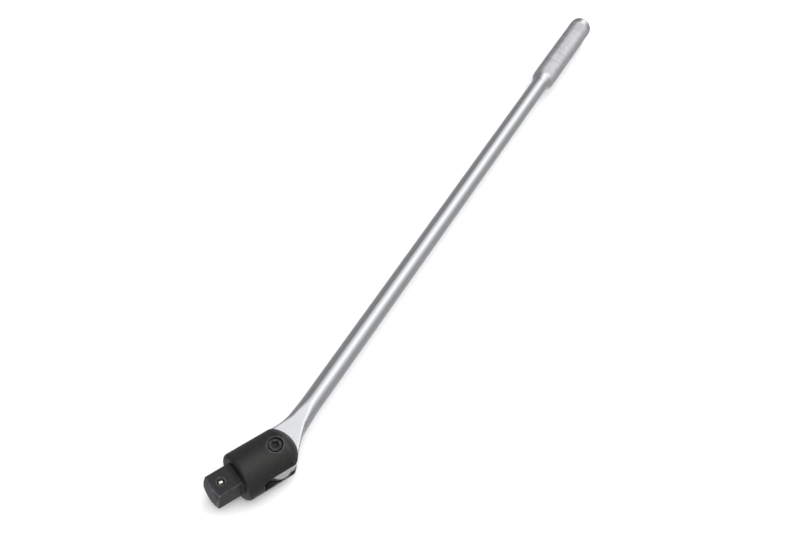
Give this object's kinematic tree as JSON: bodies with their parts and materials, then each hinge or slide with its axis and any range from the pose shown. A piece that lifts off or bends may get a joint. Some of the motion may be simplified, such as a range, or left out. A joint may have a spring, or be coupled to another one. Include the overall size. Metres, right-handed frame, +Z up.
{
  "type": "flex-head breaker bar",
  "caption": "Long drive handle with a knurled grip and a pinned, swivelling square-drive head, for loosening tight sockets.",
  "frame": {"origin": "bottom centre of the whole tool's box as it lies flat with the head bent", "axes": "+X along the bar towards the grip, +Z up along the pivot pin, head bent towards +Y"},
  "size_m": [0.6462, 0.0482, 0.037],
  "materials": {
    "black_phosphate": "black phosphated and oiled forged steel, fine grain, semi-matt",
    "satin_chrome": "satin chrome plate on forged steel, fine lengthwise polish",
    "knurled_chrome": "satin chrome plate over a fine diamond knurl",
    "ball_steel": "polished hardened steel",
    "spring_steel": "bare spring steel",
    "bush_bronze": "sintered bronze"
  },
  "bodies": {
    "handle": {"handle_bar": "satin_chrome", "pivot_bush": "bush_bronze", "grip_sleeve": "knurled_chrome", "grip_end_plug": "satin_chrome"},
    "head": {"swivel_head": "black_phosphate", "pivot_pin": "black_phosphate", "friction_washer_upper": "spring_steel", "friction_washer_lower": "spring_steel", "detent_spring": "spring_steel"},
    "ball": {"detent_ball": "ball_steel"}
  },
  "joints": [
    {"name": "head_swivel", "type": "hinge", "parent": "handle", "child": "head", "pos_m": [-0.2713, -0.00555, 0.0185], "axis": [0, 0, 1], "range_deg": [-66.4, 113.6]},
    {"name": "ball_press", "type": "slide", "parent": "head", "child": "ball", "axis": [0, 0, -1], "range_m": [0, 0.0013], "stiffness_N_per_m": 2500, "springref_m": -0.002, "deforming": ["detent_spring"]}
  ]
}
